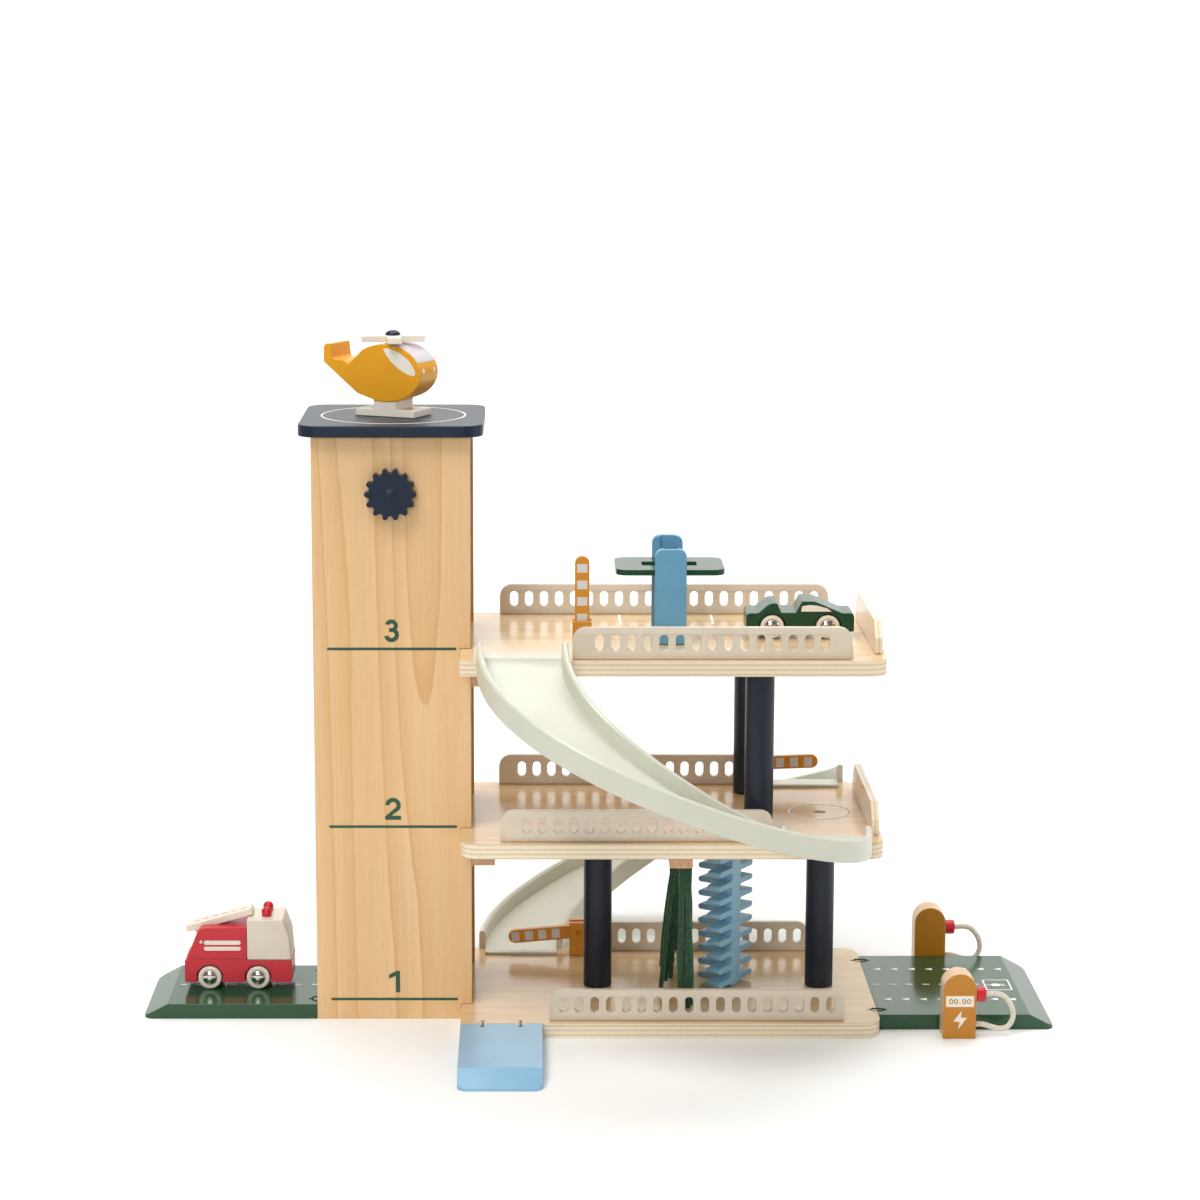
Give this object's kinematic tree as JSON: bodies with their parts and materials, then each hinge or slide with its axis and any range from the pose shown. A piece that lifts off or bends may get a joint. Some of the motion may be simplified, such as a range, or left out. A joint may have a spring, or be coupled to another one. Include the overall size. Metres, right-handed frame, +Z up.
{
  "type": "wooden toy parking tower",
  "caption": "Three-deck wooden toy car park with a lift tower, helicopter pad, curved chutes, car wash, barriers, folding roads and small vehicles.",
  "frame": {"origin": "centre of the base deck's underside, on the floor", "axes": "+X along the decks from the lift tower to the right road, +Y to the rear, +Z up"},
  "size_m": [0.7146, 0.5046, 0.5361],
  "materials": {
    "birch_ply": "clear satin lacquer on birch plywood",
    "maple_veneer": "clear satin lacquer on veneered board",
    "navy_paint": "satin paint on wood",
    "mustard_paint": "satin paint on wood",
    "beige_paint": "satin paint on plywood",
    "cream_paint": "satin paint on wood",
    "green_paint": "gloss paint on wood",
    "blue_paint": "satin paint on wood",
    "red_paint": "satin paint on wood",
    "chute_plastic": "smooth moulded plastic",
    "green_cord": "braided cord",
    "cream_cord": "braided cord",
    "black_elastic": "covered elastic"
  },
  "bodies": {
    "structure": {"base_deck": "birch_ply", "tower_front_panel": "maple_veneer", "tower_back_panel": "maple_veneer", "tower_left_panel": "maple_veneer", "landing_pad": "navy_paint", "middle_deck": "birch_ply", "top_deck": "birch_ply", "top_front_rail": "beige_paint", "top_rear_rail": "beige_paint", "top_side_rail": "birch_ply", "middle_front_rail": "beige_paint", "middle_rear_rail": "beige_paint", "middle_side_rail": "birch_ply", "base_front_rail": "beige_paint", "base_rear_rail": "beige_paint", "base_left_post": "navy_paint", "base_right_post": "navy_paint", "upper_front_post": "navy_paint", "upper_rear_post": "navy_paint", "front_chute": "chute_plastic", "rear_chute": "chute_plastic", "wash_block": "maple_veneer", "wash_curtain": "green_cord", "car_lift_front_upright": "blue_paint", "car_lift_rear_upright": "blue_paint", "top_gate_block": "mustard_paint", "middle_gate_block": "mustard_paint", "base_gate_block": "mustard_paint", "left_road_tie": "black_elastic", "right_road_tie": "black_elastic", "entry_ramp_tie": "black_elastic", "lift_cord": "cream_cord"},
    "hoist": {"gear_knob": "navy_paint", "hoist_spindle": "maple_veneer"},
    "carriage": {"lift_carriage": "maple_veneer"},
    "turntable_disc": {"turntable": "birch_ply"},
    "roller": {"wash_roller": "blue_paint"},
    "platform": {"car_lift_platform": "green_paint"},
    "top_arm": {"top_gate_arm": "mustard_paint"},
    "middle_arm": {"middle_gate_arm": "mustard_paint"},
    "base_arm": {"base_gate_arm": "mustard_paint"},
    "left_road_board": {"left_road": "green_paint"},
    "right_road_board": {"right_road": "green_paint"},
    "entry_board": {"entry_ramp": "blue_paint"},
    "front_charger": {"front_station": "mustard_paint", "front_station_cord": "cream_cord"},
    "front_plug": {"front_station_nozzle": "red_paint"},
    "rear_charger": {"rear_station": "mustard_paint", "rear_station_cord": "cream_cord"},
    "rear_plug": {"rear_station_nozzle": "red_paint"},
    "helicopter": {"helicopter_body": "mustard_paint"},
    "rotor": {"helicopter_rotor": "cream_paint"},
    "car": {"car_body": "green_paint"},
    "car_front_axle": {"car_front_wheels": "cream_paint"},
    "car_rear_axle": {"car_rear_wheels": "cream_paint"},
    "fire_engine": {"truck_body": "red_paint", "truck_cab": "cream_paint"},
    "ladder": {"truck_ladder": "cream_paint"},
    "fire_engine_front_axle": {"truck_front_wheels": "cream_paint"},
    "fire_engine_rear_axle": {"truck_rear_wheels": "cream_paint"}
  },
  "joints": [
    {"name": "carriage_lift", "type": "slide", "parent": "structure", "child": "carriage", "axis": [0, 0, 1], "range_m": [0, 0.286], "deforming": ["lift_cord"]},
    {"name": "hoist_turn", "type": "hinge", "parent": "structure", "child": "hoist", "pos_m": [-0.216, 0, 0.4195], "axis": [0, -1, 0], "range_deg": [0, 1452]},
    {"name": "turntable_spin", "type": "hinge", "parent": "structure", "child": "turntable_disc", "pos_m": [0.122, 0, 0.155], "axis": [0, 0, 1], "continuous": true},
    {"name": "roller_spin", "type": "hinge", "parent": "structure", "child": "roller", "pos_m": [0.051, 0, 0.0775], "axis": [0, 0, 1], "continuous": true},
    {"name": "platform_lift", "type": "slide", "parent": "structure", "child": "platform", "axis": [0, 0, 1], "range_m": [-0.04, 0.008]},
    {"name": "top_arm_swing", "type": "hinge", "parent": "structure", "child": "top_arm", "pos_m": [-0.0695, -0.08195, 0.3178], "axis": [0, -1, 0], "range_deg": [0, 90]},
    {"name": "middle_arm_swing", "type": "hinge", "parent": "structure", "child": "middle_arm", "pos_m": [0.0695, 0.08545, 0.1748], "axis": [0, -1, 0], "range_deg": [-2, 88]},
    {"name": "base_arm_swing", "type": "hinge", "parent": "structure", "child": "base_arm", "pos_m": [-0.0695, 0.08545, 0.0318], "axis": [0, 1, 0], "range_deg": [0, 95]},
    {"name": "left_road_fold", "type": "hinge", "parent": "structure", "child": "left_road_board", "pos_m": [-0.2773, 0, 0.012], "axis": [0, 1, 0], "range_deg": [0, 14], "deforming": ["left_road_tie"]},
    {"name": "right_road_fold", "type": "hinge", "parent": "structure", "child": "right_road_board", "pos_m": [0.1633, 0, 0.012], "axis": [0, -1, 0], "range_deg": [0, 85], "deforming": ["right_road_tie"]},
    {"name": "entry_ramp_fold", "type": "hinge", "parent": "structure", "child": "entry_board", "pos_m": [-0.13125, -0.1013, 0.012], "axis": [-1, 0, 0], "range_deg": [0, 90], "deforming": ["entry_ramp_tie"]},
    {"name": "front_charger_lift", "type": "slide", "parent": "structure", "child": "front_charger", "axis": [0, 0, 1], "range_m": [0, 0.05]},
    {"name": "front_plug_pull", "type": "slide", "parent": "front_charger", "child": "front_plug", "axis": [1, 0, 0], "range_m": [0, 0.012], "deforming": ["front_station_cord"]},
    {"name": "rear_charger_lift", "type": "slide", "parent": "structure", "child": "rear_charger", "axis": [0, 0, 1], "range_m": [0, 0.05]},
    {"name": "rear_plug_pull", "type": "slide", "parent": "rear_charger", "child": "rear_plug", "axis": [1, 0, 0], "range_m": [0, 0.012], "deforming": ["rear_station_cord"]},
    {"name": "helicopter_lift", "type": "slide", "parent": "structure", "child": "helicopter", "axis": [0, 0, 1], "range_m": [0, 0.06]},
    {"name": "rotor_spin", "type": "hinge", "parent": "helicopter", "child": "rotor", "pos_m": [-0.216, 0.009, 0.53], "axis": [0, 0, 1], "continuous": true},
    {"name": "car_roll", "type": "slide", "parent": "structure", "child": "car", "axis": [-1, 0, 0], "range_m": [-0.008, 0.016]},
    {"name": "car_front_axle_spin", "type": "hinge", "parent": "car", "child": "car_front_axle", "pos_m": [0.08075, 0.002, 0.3078], "axis": [0, -1, 0], "range_deg": [-50, 100]},
    {"name": "car_rear_axle_spin", "type": "hinge", "parent": "car", "child": "car_rear_axle", "pos_m": [0.12445, 0.002, 0.3078], "axis": [0, -1, 0], "range_deg": [-50, 100]},
    {"name": "fire_engine_roll", "type": "slide", "parent": "left_road_board", "child": "fire_engine", "axis": [-1, 0, 0], "range_m": [-0.1, 0.012]},
    {"name": "ladder_raise", "type": "hinge", "parent": "fire_engine", "child": "ladder", "pos_m": [-0.3723, 0.005, 0.0513], "axis": [0, -1, 0], "range_deg": [0, 40]},
    {"name": "fire_engine_front_axle_spin", "type": "hinge", "parent": "fire_engine", "child": "fire_engine_front_axle", "pos_m": [-0.327, 0.005, 0.0218], "axis": [0, -1, 0], "range_deg": [-610, 80]},
    {"name": "fire_engine_rear_axle_spin", "type": "hinge", "parent": "fire_engine", "child": "fire_engine_rear_axle", "pos_m": [-0.3657, 0.005, 0.0218], "axis": [0, -1, 0], "range_deg": [-610, 80]}
  ],
  "couplings": [
    {"joint": "hoist_turn", "follows": "carriage_lift", "rad_per_m": 88.496},
    {"joint": "car_front_axle_spin", "follows": "car_roll", "rad_per_m": 105.26},
    {"joint": "car_rear_axle_spin", "follows": "car_roll", "rad_per_m": 105.26},
    {"joint": "fire_engine_front_axle_spin", "follows": "fire_engine_roll", "rad_per_m": 105.26},
    {"joint": "fire_engine_rear_axle_spin", "follows": "fire_engine_roll", "rad_per_m": 105.26}
  ]
}
